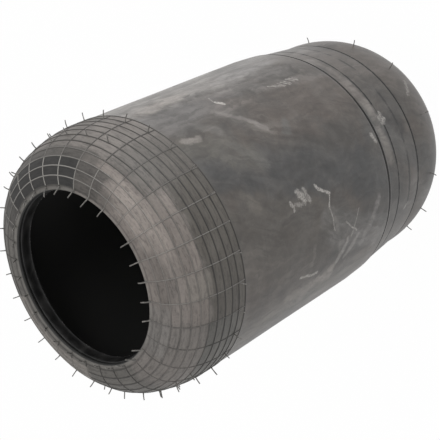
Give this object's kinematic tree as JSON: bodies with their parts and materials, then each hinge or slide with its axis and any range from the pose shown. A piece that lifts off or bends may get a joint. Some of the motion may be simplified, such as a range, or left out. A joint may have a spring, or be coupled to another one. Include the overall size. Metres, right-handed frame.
{
  "type": "air spring bellows",
  "caption": "Moulded rubber air spring sleeve on cord plies, with a wire bead at each end, a ribbed upper shoulder and vent whiskers.",
  "frame": {"origin": "centre of the lower lip, in the plane that the part stands on", "axes": "+Z along the bellows axis towards the wide ribbed end; +X through one of the meridian ribs"},
  "size_m": [0.2672, 0.266, 0.4532],
  "materials": {
    "cover_rubber": "satin, dusty",
    "whisker_rubber": "satin",
    "chafer_rubber": "satin",
    "liner_rubber": "matte",
    "filler_rubber": "matte",
    "cord_ply": "rubberised cord",
    "bead_wire": "bronze-coated wire"
  },
  "bodies": {
    "bellows_wall": {"outer_cover": "cover_rubber", "outer_ply": "cord_ply", "inner_ply": "cord_ply", "inner_liner": "liner_rubber", "bottom_bead_core": "bead_wire", "bottom_core_wrap": "cord_ply", "bottom_bead_filler": "filler_rubber", "bottom_chafer": "chafer_rubber", "tail_whiskers": "whisker_rubber"},
    "upper_bead": {"top_bead_core": "bead_wire", "top_core_wrap": "cord_ply", "top_bead_filler": "filler_rubber", "top_chafer": "chafer_rubber", "lip_whiskers": "whisker_rubber", "nose_whiskers": "whisker_rubber", "crown_whiskers": "whisker_rubber", "edge_whiskers": "whisker_rubber"}
  },
  "joints": [
    {"name": "axial_stroke", "type": "slide", "parent": "bellows_wall", "child": "upper_bead", "axis": [0, 0, 1], "range_m": [-0.06, 0.012], "stiffness_N_per_m": 8000, "deforming": ["outer_cover", "outer_ply", "inner_ply", "inner_liner"]}
  ]
}
